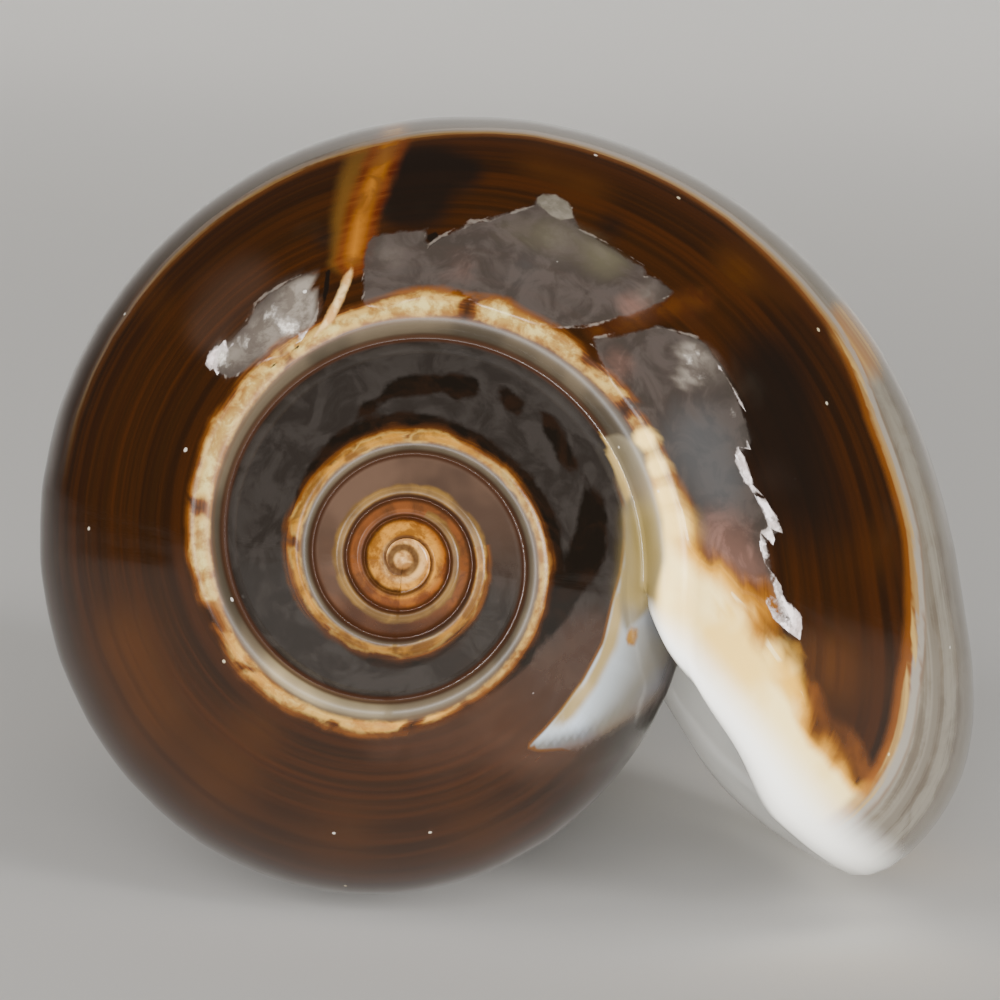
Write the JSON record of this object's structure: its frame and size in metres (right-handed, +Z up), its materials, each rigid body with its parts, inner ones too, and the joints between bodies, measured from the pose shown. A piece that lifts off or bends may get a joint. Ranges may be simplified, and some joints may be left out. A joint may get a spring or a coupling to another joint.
{
  "type": "olive shell",
  "caption": "Natural olive sea shell: low coiled spire with a channelled seam, long rounded body whorl, narrow mouth with a thick lip and a notched front end.",
  "frame": {"origin": "on the ground under the middle of the shell as it lies on its mouth", "axes": "+Y from the pointed tip to the notched front end, +X towards the lip, +Z up to the back of the shell"},
  "size_m": [0.0212, 0.0438, 0.0178],
  "materials": {
    "polished_shell": "natural high polish, dark chestnut outside, porcelain white inside"
  },
  "bodies": {
    "root": {"shell": "polished_shell"}
  },
  "joints": []
}
